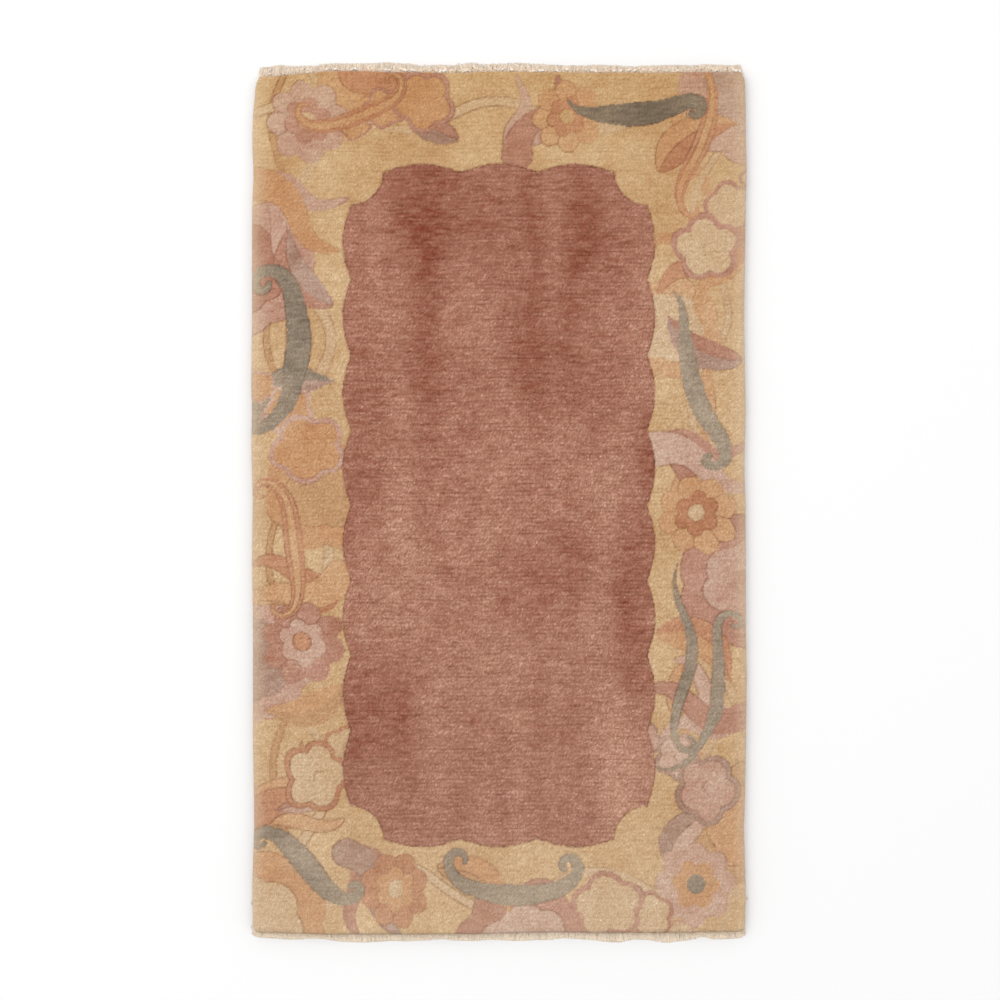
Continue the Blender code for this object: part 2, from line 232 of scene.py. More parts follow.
# %% [markdown]
# ## Painting with wool
#
# A shape is a function that gives every point its distance from the shape's outline, less
# than 0 inside. Points inside take the shape's yarn, and all points near it remember how far
# off the nearest outline is, for the carver's scissors. A shape tied later hides the outlines
# under it. Knots never meet a curve exactly, so the yarn's edge strays from it a little.

# %% Shapes as distances, and the painter
ROOM = 14 * MM  # how far beyond a shape its outline is still looked for


def boxed(distance, points, reach):
    """A shape: its distance function, and the corners of the box that it fits."""
    points = np.atleast_2d(points)
    return distance, points.min(0) - reach, points.max(0) + reach


def disc(centre, radius):
    """Distance from the centre, less the radius."""

    def distance(x, y):
        return np.hypot(x - centre[0], y - centre[1]) - radius

    return boxed(distance, centre, radius)


def stroke(path, half_width):
    """A band along a path: distance to the nearest stretch, less the half width there."""
    path = np.asarray(path, float)
    half = np.broadcast_to(half_width, len(path))
    start, run = path[:-1], np.diff(path, axis=0)

    def distance(x, y):
        off_x = x[..., None] - start[:, 0]
        off_y = y[..., None] - start[:, 1]
        share = np.clip((off_x * run[:, 0] + off_y * run[:, 1]) / (run**2).sum(1), 0, 1)
        gap = np.hypot(off_x - share * run[:, 0], off_y - share * run[:, 1])
        return (gap - half[:-1] - share * np.diff(half)).min(-1)

    return boxed(distance, path, half.max())


def lobed(x, y, size, turn, lobes, depth):
    """A rosette: distance from the middle, less a radius that dips between lobes as |cos|."""

    def distance(px, py):
        angle = np.arctan2(py - y, px - x) - np.radians(turn)
        dip = 1 - np.abs(np.cos(0.5 * lobes * angle))
        return np.hypot(px - x, py - y) - size * (1 - depth * dip)

    return boxed(distance, (x, y), size)


def shrunk(shape, by):
    """A shape drawn in all round."""
    distance, low, high = shape
    return lambda x, y: distance(x, y) + by, low, high


def placed(points, x, y, turn, size):
    """Points of a unit drawing, sized, turned anticlockwise by degrees and moved to x, y."""
    angle = np.radians(turn)
    spin = np.array([[np.cos(angle), np.sin(angle)], [-np.sin(angle), np.cos(angle)]])
    return size * np.atleast_2d(points) @ spin + (x, y)


# %% [markdown]
# ## The wool's colours
#
# Ten dyed yarns make the rug, one for the plain field and nine for the border. No dye bath is
# even, so each yarn has two tones, and the wool drifts from one to the other over a few
# centimetres. Nobody ties a perfect circle either: the border is drawn on a map that wanders
# by a few millimetres, so that every outline looks drawn by hand.

# %% The yarns, and a painter that ties them
YARNS = {
    "field": ("#8B5340", "#AF7F6A"),
    "gold": ("#BB956B", "#C9A982"),
    "pale gold": ("#BF9E7A", "#C8AB8A"),
    "deep gold": ("#B38963", "#BC946C"),
    "peach": ("#BA8A62", "#C39A74"),
    "terracotta": ("#AC7656", "#BB8A6A"),
    "rose": ("#A4725C", "#B68A76"),
    "mauve": ("#A07E6C", "#B69888"),
    "pale rose": ("#B48A76", "#C2A28E"),
    "slate": ("#7C6D5D", "#9D8C78"),
}
YARN_NUMBER = {name: number for number, name in enumerate(YARNS)}
YARN_TONES = np.array([[linear(code) for code in tones] for tones in YARNS.values()])

FAR = 1.0
STRAY = 0.5 * MM  # how far a yarn's edge strays from its outline
WANDER = 2.6 * MM
WANDER_ACROSS = 19  # grid steps
WANDER_ALONG = 17
yarn = np.full(top_x.shape, YARN_NUMBER["gold"])
batch = np.zeros(top_x.shape)
outline = np.full(top_x.shape, FAR)
stray = STRAY * drift(1.3, 1.3, 21)
hand_x = top_x + WANDER * drift(WANDER_ACROSS, WANDER_ALONG, 23)
hand_y = top_y + WANDER * drift(WANDER_ACROSS, WANDER_ALONG, 24)
batches = np.random.default_rng(2)


def reach(lines, low, high):
    """The run of sorted lines between low and high, with room to spare."""
    return slice(*np.searchsorted(lines, (low - ROOM, high + ROOM)))


def tie(shape, colour=None, x=hand_x, y=hand_y):
    """Ties the wool inside a shape in one batch of a yarn, and marks its outline for carving.

    Without a colour the wool stays as it is, and only the outline is marked."""
    distance, low, high = shape
    rows = reach((top_v - 0.5) * LENGTH + MIDDLE_Y, low[1], high[1])
    columns = reach((top_u - 0.5) * WIDTH, low[0], high[0])
    gap = distance(x[rows, columns], y[rows, columns])
    if colour:
        inside = gap + stray[rows, columns] < 0
        yarn[rows, columns][inside] = YARN_NUMBER[colour]
        batch[rows, columns][inside] = batches.uniform(-1, 1)
    known = outline[rows, columns]
    outline[rows, columns] = np.where(gap < 0, -gap, np.minimum(known, gap))


print("yarns:", ", ".join(YARNS))

# %% [markdown]
# ## The motifs
#
# Cloud bands, clouds, blossoms, leaves and flames are the common stock of Tibetan and Chinese
# rugs. Each is a function that ties a few shapes one over another, large and in broad strokes,
# since a stroke under three knots wide gets lost in the pile. Some lines are only carved: the
# wool on both sides has one colour, and the groove alone shows.

# %% Cloud bands and clouds


def band(x, y, size, turn, first, last, bow, wide, *colours):
    """A cloud band, size long. The place s along it runs from -1 to 1.

    Its direction turns by bow times s, and by the first or last winding times the fourth
    power of s, so that an end with a large winding rolls up and one with a small winding
    trails off. It is widest in the middle, and each further colour lies within the last."""
    s = np.linspace(-1, 1, 61)
    winding = np.where(s < 0, first, last)
    heading = winding * s**4 + bow * s
    path = np.cumsum(np.stack([np.cos(heading), np.sin(heading)], 1), 0) / len(s)
    path = placed(path - path[len(s) // 2], x, y, turn, size)
    tip = 0.05 * np.abs(winding)
    for number, colour in enumerate(colours):
        half_width = size * wide * (1 - (1 - tip) * np.abs(s) ** 1.5) * (1 - 0.55 * number)
        tie(stroke(path, half_width), colour)


def cloud(x, y, size, turn, body, rim, hand=1):
    """Three clouds along a bent line, each a lobed rim round a paler body with a carved mark."""
    for along, share in ((1.9, 0.46), (1.15, 0.68), (0.0, 1.0)):
        own_size = share * size
        place = placed((along, 0.28 * hand * along**2 - 0.3), x, y, turn, size)[0]
        puff = lobed(*place, own_size, turn + 90, 5, 0.20)
        mark = placed([(-0.2, 0), (0.1, 0.1), (0.2, -0.1)], *place, turn, own_size)
        tie(puff, rim)
        tie(shrunk(puff, 0.15 * own_size), body)
        tie(stroke(mark, 0))


# %% Blossoms, leaves, flames and hills


def blossom(x, y, size, turn, outer, inner, heart):
    """Eight petals parted by carved lines, six smaller ones on them, and a round heart."""
    tie(lobed(x, y, size, turn, 8, 0.20), outer)
    for step in range(8):
        line = placed([(0.5, 0), (0.84, 0)], x, y, turn + 45 * step + 22.5, size)
        tie(stroke(line, 0))
    tie(lobed(x, y, 0.58 * size, turn + 10, 6, 0.24), inner)
    tie(disc((x, y), 0.22 * size), heart)


def leaf(x, y, size, turn, light, dark, bend=0.2):
    """A bent leaf, half in each of two tones. Its half width is a sine wave along it."""
    t = np.linspace(0, 1, 20)
    width = 0.2 * np.sin(np.pi * t**0.8)
    spine = np.stack([t, bend * np.sin(np.pi * t)], 1)
    beside = spine - np.stack([0 * t, 0.5 * width], 1)
    tie(stroke(placed(spine, x, y, turn, size), size * width), light)
    tie(stroke(placed(beside, x, y, turn, size), size * width * 0.5), dark)


def flame(x, y, size, turn, back, front):
    """Three tongues from one root. Each bends like a sine wave and tapers to a point."""
    t = np.linspace(0, 1, 24)
    for length, lean, wide, colour in (
        (0.80, 0.42, 0.11, back),
        (0.78, -0.40, 0.11, back),
        (1.00, 0.00, 0.15, front),
    ):
        spine = np.stack([length * t, lean * t**1.2 + 0.09 * np.sin(2 * np.pi * t)], 1)
        tie(stroke(placed(spine, x, y, turn, size), size * wide * np.sqrt(1 - t)), colour)


def hill(x, y, size, turn, outer, inner):
    """A broad lobed patch with a smaller one on it, as ground for other motifs."""
    tie(lobed(x, y, size, turn, 7, 0.12), outer)
    tie(lobed(x, y, 0.66 * size, turn + 20, 6, 0.14), inner)


def vine(start, end, swings, swing, half_width, colour):
    """A stem from start to end that swings to and fro like a sine wave."""
    t = np.linspace(0, 1, 90)[:, None]
    run = np.subtract(end, start)
    across = np.array((-run[1], run[0])) / np.hypot(*run)
    path = start + run * t + across * swing * np.sin(2 * np.pi * swings * t)
    tie(stroke(path * MM, half_width * MM), colour)


# %% [markdown]
# ## The border's layout
#
# Two tables lay out the whole border, in millimetres from the rug's middle, with turns in
# degrees. What is tied first lies undermost: vines and hills tint the ground, then come flames
# and leaves, and last the blossoms, clouds and bands. Nothing is mirrored, but most motifs
# have an answer on the other side of the rug, in other colours.

# %% Lay out the border
VINES = (  # start, end, swings, their size, half width, yarn
    ((-236, -540), (-236, 540), 4.0, 26, 6, "pale gold"),
    ((-262, -540), (-262, 540), 4.0, -22, 4, "deep gold"),
    ((240, -540), (240, 540), 4.5, 24, 6, "peach"),
    ((262, -540), (262, 540), 4.5, -24, 4, "pale gold"),
    ((-300, 476), (300, 476), 2.5, 20, 6, "pale gold"),
    ((-300, -478), (300, -478), 2.5, -22, 6, "pale gold"),
)
MOTIFS = (  # function, x, y, size, turn, and what else it takes
    (hill, -306, 292, 84, 10, "pale rose", "rose"),
    (hill, -214, 8, 74, 40, "peach", "deep gold"),
    (hill, -308, -196, 84, 0, "pale rose", "mauve"),
    (hill, -300, -520, 92, 25, "peach", "pale gold"),
    (hill, 306, 506, 92, 15, "pale rose", "mauve"),
    (hill, 208, 214, 70, 30, "peach", "pale gold"),
    (hill, 308, -96, 86, 5, "rose", "pale rose"),
    (hill, 304, -400, 80, 35, "deep gold", "peach"),
    (hill, -150, 548, 84, 12, "peach", "terracotta"),
    (hill, 34, -548, 88, 20, "rose", "pale rose"),
    (flame, -296, 392, 132, -38, "pale rose", "peach"),
    (flame, -196, -92, 128, 196, "terracotta", "peach"),
    (flame, -304, -396, 128, 32, "peach", "terracotta"),
    (flame, 300, 330, 130, 214, "peach", "terracotta"),
    (flame, 196, 66, 128, -20, "rose", "pale rose"),
    (flame, 300, -262, 124, 168, "pale rose", "rose"),
    (flame, 20, 424, 118, 62, "pale rose", "rose"),
    (flame, -190, -430, 120, -56, "rose", "mauve"),
    (leaf, -206, 246, 108, 118, "rose", "mauve"),
    (leaf, -300, 96, 112, 30, "slate", "mauve"),
    (leaf, -196, -222, 100, 200, "deep gold", "peach"),
    (leaf, -204, -300, 104, 226, "pale rose", "rose"),
    (leaf, 196, 404, 112, 30, "peach", "terracotta"),
    (leaf, 300, 176, 106, 150, "mauve", "rose"),
    (leaf, 196, -160, 108, -34, "terracotta", "peach"),
    (leaf, 208, -452, 100, 52, "mauve", "pale rose"),
    (leaf, -50, 446, 100, 130, "mauve", "rose"),
    (leaf, -76, -452, 102, -28, "peach", "deep gold"),
    (blossom, -238, 470, 52, 10, "pale rose", "rose", "pale gold"),
    (blossom, -244, -172, 52, 30, "rose", "pale rose", "terracotta"),
    (blossom, 246, -14, 50, 16, "peach", "terracotta", "pale gold"),
    (blossom, 238, -468, 52, 44, "pale rose", "peach", "slate"),
    (blossom, 84, 474, 46, 0, "peach", "terracotta", "gold"),
    (blossom, -132, -480, 44, 20, "terracotta", "peach", "pale gold"),
    (cloud, -246, 64, 46, 100, "peach", "pale rose", 1),
    (cloud, -240, -330, 44, 60, "pale gold", "terracotta", -1),
    (cloud, 244, 322, 46, 80, "pale gold", "rose", -1),
    (cloud, 240, -356, 44, 112, "pale rose", "mauve", 1),
    (cloud, -96, 482, 42, 172, "peach", "rose", 1),
    (cloud, 132, -484, 42, 8, "pale gold", "rose", -1),
    (band, -246, 190, 340, 84, -5.2, 5.6, 0.5, 0.040, "slate"),
    (band, -252, -50, 250, 98, -4.4, 4.4, 0.0, 0.045, "terracotta", "peach"),
    (band, -238, -446, 210, 128, 5.4, 4.8, 0.0, 0.066, "slate"),
    (band, 250, 446, 230, 70, 4.4, 1.0, 0.6, 0.045, "terracotta", "peach"),
    (band, 240, 138, 260, 112, -6.0, 1.4, -0.9, 0.048, "slate"),
    (band, 236, -206, 270, 82, 6.2, -1.0, 0.9, 0.026, "slate"),
    (band, 270, -232, 280, 84, -1.2, -5.8, 0.9, 0.028, "slate"),
    (band, 176, 480, 200, 14, -1.0, -4.8, 0.5, 0.082, "slate"),
    (band, 20, -480, 270, -4, -5.0, 5.2, 0.4, 0.046, "slate"),
    (band, -176, 476, 210, 20, -4.2, 4.2, 0.3, 0.050, "terracotta", "peach"),
)

for stem in VINES:
    vine(*stem)
for motif, x, y, size, turn, *finish in MOTIFS:
    motif(x * MM, y * MM, size * MM, turn, *finish)
print("wool in each yarn:", np.bincount(yarn.ravel(), minlength=len(YARNS)))

# %% [markdown]
# ## The field
#
# The plain field is tied last, over everything that reaches into it. Its edge is a row of
# scallops with a quarter circle bitten out of each corner, as in the solid. Dividing by the
# slope's length keeps the distance true where a scallop is steep.

# %% Tie the field
FIELD_HALF_WIDTH = 182 * MM
FIELD_HALF_LENGTH = 410 * MM
FIELD_BITE = 40 * MM
SCALLOP = 10 * MM
SIDE_SCALLOPS = 8
END_SCALLOPS = 3
SOLID_GROOVE = 10.8 * MM  # the height of the solid's groove, give or take
GROOVE_NEAR = 0.5 * MM
groove = body_points[np.abs(body_points[:, 2] - SOLID_GROOVE) < GROOVE_NEAR]
FIELD_Y = (groove[:, 1].min() + groove[:, 1].max()) / 2


def scalloped(out, along, half, straight, count):
    """Distance out from a scalloped side: out - half - depth |sin|, over the slope's length."""
    phase = np.pi * count * (along + straight) / (2 * straight)
    on_side = np.abs(along) < straight
    bow = np.where(on_side, SCALLOP * np.abs(np.sin(phase)), 0)
    slope = np.where(on_side, SCALLOP * np.pi * count / (2 * straight) * np.cos(phase), 0)
    return (out - half - bow) / np.sqrt(1 + slope**2)


def field_distance(x, y):
    """The greatest of the distances from the sides, from the ends and from the bites."""
    y = y - FIELD_Y
    straight_y = FIELD_HALF_LENGTH - FIELD_BITE
    straight_x = FIELD_HALF_WIDTH - FIELD_BITE
    sides = scalloped(np.abs(x), y, FIELD_HALF_WIDTH, straight_y, SIDE_SCALLOPS)
    ends = scalloped(np.abs(y), x, FIELD_HALF_LENGTH, straight_x, END_SCALLOPS)
    bites = FIELD_BITE - np.hypot(np.abs(x) - FIELD_HALF_WIDTH, np.abs(y) - FIELD_HALF_LENGTH)
    return np.maximum(np.maximum(sides, ends), bites)


field_corner = np.array((FIELD_HALF_WIDTH, FIELD_HALF_LENGTH))
field_shape = (field_distance, (0, FIELD_Y) - field_corner, (0, FIELD_Y) + field_corner)
tie(field_shape, "field", top_x, top_y)
print("knots in the field:", (yarn == YARN_NUMBER["field"]).sum(), "of", yarn.size)

# %% [markdown]
# ## The pile's relief
#
# The top's height is the level of the cut pile, less what lowers it: the round shoulder at the
# edge, the valleys between rows, the carver's groove, and a few soft creases from folding.
# Each tuft is a little taller or shorter than the next, and so is each point of it, which
# gives cut wool its velvety look. The scissors went deep round the field, and lightly, in
# places hardly at all, in the border.

# %% Work out the relief of the top
PILE_TOP = 14.0 * MM
SHOULDER = 8.4 * MM
TUFT_HEIGHT = 0.12 * MM
GRAIN_HEIGHT = 0.13 * MM
SWAY = 0.15 * MM  # how far the level rises and falls over the whole rug
VALLEY = 0.16 * MM
GROOVE = 1.7 * MM
GROOVE_HALF_WIDTH = 1.35 * MM

CREASES = (  # three places on the fold, its half width and its depth
    ((104, -30), (118, -110), (150, -186), 9, 0.7),
    ((150, -110), (168, -180), (166, -260), 8, 0.6),
    ((-76, 300), (-70, 200), (-64, 90), 14, 0.3),
    ((82, 370), (80, 250), (70, 120), 16, 0.3),
)


def shoulder(inset):
    """How far the pile has dropped at its edge: the top quarter of an ellipse."""
    share = np.clip(1 - inset / SHOULDER, 0, 1)
    return (PILE_TOP - SIDE_BELLY) * (1 - np.sqrt(1 - share**2))


tufts = np.random.default_rng(3).standard_normal((ROWS, KNOTS))[in_row, in_knot]
grain = drift(0.6, 0.5, 4)
sway = drift(60, 60, 5)
row_line = in_valley[:, None] * (1 + 0.6 * drift(5, 0.1, 6))
pressed = np.clip(0.48 + 0.38 * drift(13, 13, 25), 0.05, 1)
at_field = np.abs(field_distance(top_x, top_y)) < 2 * GROOVE_HALF_WIDTH
carved = np.clip(1 - outline / GROOVE_HALF_WIDTH, 0, 1) * np.where(at_field, 1, pressed)

creased = np.zeros(top_x.shape)
for *crease, half_width, depth in CREASES:
    distance, _, _ = stroke(np.array(crease) * MM, 0)
    creased += depth * MM * np.exp(-((distance(top_x, top_y) / (half_width * MM)) ** 2))

top_z = PILE_TOP + TUFT_HEIGHT * tufts + GRAIN_HEIGHT * grain + SWAY * sway
top_z -= VALLEY * row_line + GROOVE * carved + creased + shoulder(inset)
print("top between", (top_z.min() / MM).round(2), "and", (top_z.max() / MM).round(2), "mm")

# %% [markdown]
# ## The pile's colour
#
# The wool's place between its two tones is a sum of soft noises. In the field the pile leans
# this way and that in bands a finger or two wide that run along the rug, painted as shade,
# darker or paler as the leaning pile takes the light, and the largest patches that feet have
# pressed another way are painted in the same way, listed one by one. The tone drifts in streaks
# of a few knots along each row, and the border's wool drifts in rounder patches. A fine grain
# comes on top, smoother towards the head: it is partly random tone and partly painted shade
# and glint of single tufts, so a lighter point is greyer and a darker one redder. A gap or a
# groove gets painted shade, darker and redder, since its light has met the wool more often.
# The pile is paler where it rolls over the long sides and, faded, near the foot. The border
# has kept its colour best at the head, and the foot's last row lies in the shade.

# %% Work out the colour of the top
GRAIN_AND_TUFT_SHADE = 0.24
BORDER_GRAIN_AND_TUFT_SHADE = 0.62  # share of the field's
SMOOTH = 0.25  # share of the grain lost at SMOOTH_Y
SMOOTH_Y = 420 * MM
SMOOTH_HALF = 160 * MM
GRAIN_AND_GLINT_TINT = np.array((0.78, 1.05, 1.30))  # its strength in red, green and blue
GROOVE_SHADE = np.array((0.30, 0.46, 0.52))  # red, green and blue lost at the groove's bottom
KEPT_DEEPER = np.array((0.07, 0.13, 0.28))  # red, green and blue lost at the head
PALE = linear("#D8C2A6")
SIDE_PALE = 12 * MM  # how far in from the sides, and how much
SIDE_PALER = 0.42
FADED = 0.16  # share of colour lost at the foot in the border, and the field's share of that
FIELD_FADED = 0.6
LAST_ROW = 2.2 * MM
LAST_ROW_SHADE = 0.36
# Painted nap shade: patches where pressed pile takes the light another way, painted darker for a
# negative amount and paler for a positive one.
PAINTED_NAP_SHADE = (  # x, y, half width, half length, and how much paler
    (0, 360, 400, 80, -0.24),
    (-80, 260, 24, 170, -0.16),
    (86, 290, 26, 130, -0.18),
    (108, -70, 16, 60, -0.26),
    (150, -170, 17, 70, -0.28),
    (-140, 30, 20, 160, -0.12),
    (-178, -300, 18, 90, -0.16),
    (-50, -20, 90, 110, 0.12),
    (-30, -330, 130, 60, 0.08),
)

in_field = yarn == YARN_NUMBER["field"]
# Painted shade: bands along the rug, darker and paler where the pile leans one way and the
# other.
nap_shade_bands = drift(9, 50, 11) + 0.9 * drift(28, 24, 12)
patches = drift(13, 14, 13) + 0.6 * drift(5, 5, 14)
blots = drift(5, 4, 15) + 0.8 * drift(2.2, 0.7, 7)
streaks = drift(2.6, 0.5, 8)
field_share = 0.58 + 0.13 * nap_shade_bands + 0.06 * blots + 0.13 * streaks
for x, y, half_x, half_y, amount in PAINTED_NAP_SHADE:
    off = ((top_x / MM - x) / half_x) ** 2 + ((top_y / MM - y) / half_y) ** 2
    field_share += amount * np.exp(-off)
border_share = 0.50 + 0.20 * patches + 0.30 * batch + 0.05 * blots + 0.14 * streaks
share = np.clip(np.where(in_field, field_share, border_share), -0.3, 1.3)[..., None]
tones = YARN_TONES[yarn]
top_colour = blend(tones[..., 0, :], tones[..., 1, :], share)

# Painted light and shade: the fine grain is partly random tone and partly painted shade and
# glint of single tufts, lighter points greyer and darker ones redder. The row valleys and the
# grooves get painted shade.
fine = np.random.default_rng(10).standard_normal(top_x.shape)
smooth = 1 - SMOOTH * np.exp(-(((top_y - SMOOTH_Y) / SMOOTH_HALF) ** 2))
light = GRAIN_AND_TUFT_SHADE * np.where(in_field, 1, BORDER_GRAIN_AND_TUFT_SHADE) * smooth * fine
light -= np.where(in_field, 0.16, 0.06) * row_line
shade = light[..., None] * GRAIN_AND_GLINT_TINT - carved[..., None] * GROOVE_SHADE
top_colour = top_colour * np.exp(shade)
side_inset = np.minimum(top_u, 1 - top_u) * WIDTH
paler = np.exp(-((side_inset / SIDE_PALE) ** 2))[None, :, None]
faded = FADED * np.clip(-top_y / (0.5 * LENGTH), 0, 1)[..., None] ** 2
faded = faded * np.where(in_field, FIELD_FADED, 1)[..., None]
top_colour = blend(top_colour, PALE, np.maximum(SIDE_PALER * paler, faded))
kept = np.where(in_field, 0, np.clip(top_y / (0.5 * LENGTH), 0, 1) ** 4)[..., None]
top_colour = top_colour * np.exp(-kept * KEPT_DEEPER)
last_row = np.exp(-((top_v * LENGTH / LAST_ROW) ** 2))[:, None, None]
top_colour = top_colour * (1 - LAST_ROW_SHADE * last_row)
print("mean colour in linear light:", top_colour.mean((0, 1)).round(3))

# %% [markdown]
# ## Wool as a material
#
# The material reads the colour of each point from the attribute `yarn`. Cut wool is rough all
# through, and its fibre ends catch a haze of light at low angles, which Blender calls sheen.
# A noise as fine as a strand breaks up colour and surface between the points.

# %% A node helper and the wool materials


def node(tree, kind, inputs, **settings):
    """Adds a node. settings are its properties, inputs its sockets: values, or links."""
    made = tree.nodes.new(kind)
    for name, value in settings.items():
        setattr(made, name, value)
    for name, value in inputs.items():
        if isinstance(value, bpy.types.NodeSocket):
            tree.links.new(value, made.inputs[name])
        else:
            made.inputs[name].default_value = value
    return made


def yarn_material(name, strand, bump, spread, sheen):
    """Fibres of one strand's width, in metres, coloured by the `yarn` attribute."""
    material = bpy.data.materials.new(name)
    material.use_nodes = True
    tree = material.node_tree
    shader = tree.nodes["Principled BSDF"]
    shader.inputs["Roughness"].default_value = 0.95
    shader.inputs["Specular IOR Level"].default_value = 0.2
    shader.inputs["Sheen Weight"].default_value = sheen
    shader.inputs["Sheen Roughness"].default_value = 0.45
    place = node(tree, "ShaderNodeTexCoord", {})
    colour = node(tree, "ShaderNodeAttribute", {}, attribute_name="yarn")
    fibres = node(
        tree,
        "ShaderNodeTexNoise",
        {"Vector": place.outputs["Object"], "Scale": 0.5 / strand, "Detail": 2.0},
    )
    shade = node(
        tree,
        "ShaderNodeMapRange",
        {"Value": fibres.outputs["Fac"], 1: 0.3, 2: 0.7, 3: 1 - spread, 4: 1 + spread},
    )
    mixed = node(
        tree,
        "ShaderNodeVectorMath",
        {0: colour.outputs["Color"], "Scale": shade.outputs["Result"]},
        operation="SCALE",
    )
    relief = node(
        tree,
        "ShaderNodeBump",
        {"Height": fibres.outputs["Fac"], "Distance": strand, "Strength": bump},
    )
    tree.links.new(mixed.outputs["Vector"], shader.inputs["Base Color"])
    tree.links.new(relief.outputs["Normal"], shader.inputs["Normal"])
    return material


cut_pile = yarn_material("cut wool pile", 0.7 * MM, 0.5, 0.16, 0.20)
print("made the material:", cut_pile.name)

# %% [markdown]
# ## Meshes from arrays
#
# A surface on a grid needs two arrays: its points, and its faces as four point numbers each.
# A face whose corners run anticlockwise as seen from outside points outwards.

# %% Helpers that make meshes


def grid_faces(rows, columns):
    """The four corners of every cell of a grid that is stored row by row."""
    first = (np.arange(rows - 1)[:, None] * columns + np.arange(columns - 1)).ravel()
    return np.stack([first, first + 1, first + columns + 1, first + columns], 1)


def ring_faces(rings, sides):
    """The same for rings of points, one after another, where the last side meets the first."""
    start = np.arange(rings - 1)[:, None] * sides
    here = start + np.arange(sides)
    beyond = start + (np.arange(sides) + 1) % sides
    return np.stack([here, beyond, beyond + sides, here + sides], 2).reshape(-1, 4)


def add_object(name, data):
    """Puts a mesh, a light or a camera into the scene, at the origin."""
    made = bpy.data.objects.new(name, data)
    bpy.context.scene.collection.objects.link(made)
    return made


def add_mesh(name, points, faces, colours, material, node_names):
    """Makes a piece: whole arrays of points, faces and colours in one mesh at the origin."""
    mesh = bpy.data.meshes.new(name)
    mesh.from_pydata(points.reshape(-1, 3).tolist(), [], faces)
    mesh.shade_smooth()
    mesh.materials.append(material)
    layer = mesh.color_attributes.new("yarn", "FLOAT_COLOR", "POINT")
    rgba = np.ones((len(mesh.vertices), 4), np.float32)
    rgba[:, :3] = colours.reshape(-1, 3)
    layer.data.foreach_set("color", rgba.ravel())
    piece = add_object(name, mesh)
    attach(piece, "root")
    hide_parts(*node_names)
    print(name, "has", sum(len(face) - 2 for face in faces), "triangles")
    return piece


def flat_map(piece, place):
    """A UV map seen from straight above: each point's place in the box of them all."""
    mesh = piece.data
    place = (place - place.min(0)) / np.ptp(place, 0)
    corners = np.empty(len(mesh.loops), np.int32)
    mesh.loops.foreach_get("vertex_index", corners)
    layer = mesh.uv_layers.new(name="OFBake")
    layer.data.foreach_set("uv", place[corners].astype(np.float32).ravel())


# %% [markdown]
# ## The pile's top
#
# The top is one grid, but a piece may have 200,000 triangles at most, so it is parted in four
# along valleys between rows, where no eye finds the line. Blender would work out the normals
# for each part alone, so they are worked out here for the whole top, as the cross product of
# the two directions of the grid.

# %% Make the pile's top
PARTS = 4


def grid_normals(points):
    """Unit cross products of the steps along the columns and along the rows."""
    normals = np.cross(np.gradient(points, axis=1), np.gradient(points, axis=0))
    return normals / np.linalg.norm(normals, axis=2, keepdims=True)


top = np.stack([top_x, top_y, top_z], 2)
top_normals = grid_normals(top)
valleys = np.flatnonzero(in_valley)
cuts = [valleys[len(valleys) * part // PARTS] for part in range(1, PARTS)]
cuts = [0, *cuts, len(top_v) - 1]
for number, (first, last) in enumerate(zip(cuts[:-1], cuts[1:]), 1):
    part = top[first : last + 1]
    faces = grid_faces(*part.shape[:2]).tolist()
    colours = top_colour[first : last + 1]
    piece = add_mesh(f"pile_{number}", part, faces, colours, cut_pile, ["rug_body"])
    normals = top_normals[first : last + 1].reshape(-1, 3)
    piece.data.normals_split_custom_set_from_vertices(normals)
    flat_map(piece, part[..., :2].reshape(-1, 2))

# %% [markdown]
# ## The pile's edge
#
# Below its widest line the pile turns in to its roots, over the overcast side or the fringe.
# The grid's own rim is carried down through a short profile, and the valleys between the rows
# cut deeper the lower they are.

# %% Make the pile's edge
PROFILE = (  # height, and how far in at the sides and at the ends
    (9.0, 0.0, 0.0),
    (7.8, 0.3, 0.3),
    (6.4, 1.0, 0.8),
    (5.4, 2.0, 1.5),
    (4.6, 3.2, 2.2),
    (3.8, 3.9, 2.6),
    (2.9, 4.1, 2.6),
)


def round_rim(grid):
    """A grid's rim as one closed anticlockwise run."""
    return np.concatenate([grid[0, :-1], grid[:-1, -1], grid[-1, :0:-1], grid[:0:-1, 0]])


def rim_outward(x, y):
    """Unit normals out of the closed run, and how far each faces an end and not a side."""
    line = np.stack([x, y], 1)
    along = np.roll(line, -2, 0) - np.roll(line, 2, 0)
    out = np.stack([along[:, 1], -along[:, 0]], 1)
    out /= np.linalg.norm(out, axis=1, keepdims=True)
    return out, out[:, 1:] ** 2


rim = round_rim(top)
rim_colour = round_rim(top_colour)
out, facing_end = rim_outward(round_rim(rim_x), round_rim(rim_y))
rim_valley = round_rim(np.broadcast_to(in_valley[:, None], top_x.shape).astype(float))[:, None]
ragged = np.random.default_rng(13).uniform(0, 1, (len(rim), 1))
heights, side_in, end_in = (np.array(column)[:, None, None] * MM for column in zip(*PROFILE))
lower = (PROFILE[0][0] * MM - heights) / (6 * MM)
inward = blend(side_in, end_in, facing_end) + lower * 0.7 * MM * (rim_valley + 0.4 * ragged)
skirt = np.concatenate([rim[None, :, :2] - inward * out, 0 * inward + heights], 2)
skirt[0] = rim
# Painted shade: the edge is darker the lower it turns in under the pile, and darker in the row
# valleys.
skirt_colour = rim_colour * np.exp(-0.5 * lower - 0.12 * rim_valley)
faces = ring_faces(*skirt.shape[:2]).tolist()
skirt_edge = add_mesh(
    "pile_edge", skirt[::-1], faces, skirt_colour[::-1], cut_pile, ["rug_body"]
)

# %% [markdown]
# ## Strands
#
# The overcast sides, the tied locks and the cut ends are all strands: a round section carried
# along a path. At each station two directions square to the path come from cross products
# with "up". A point of the section is the path plus the radius times the cosine of its angle
# along the one and the sine along the other.

# %% A helper that makes strands


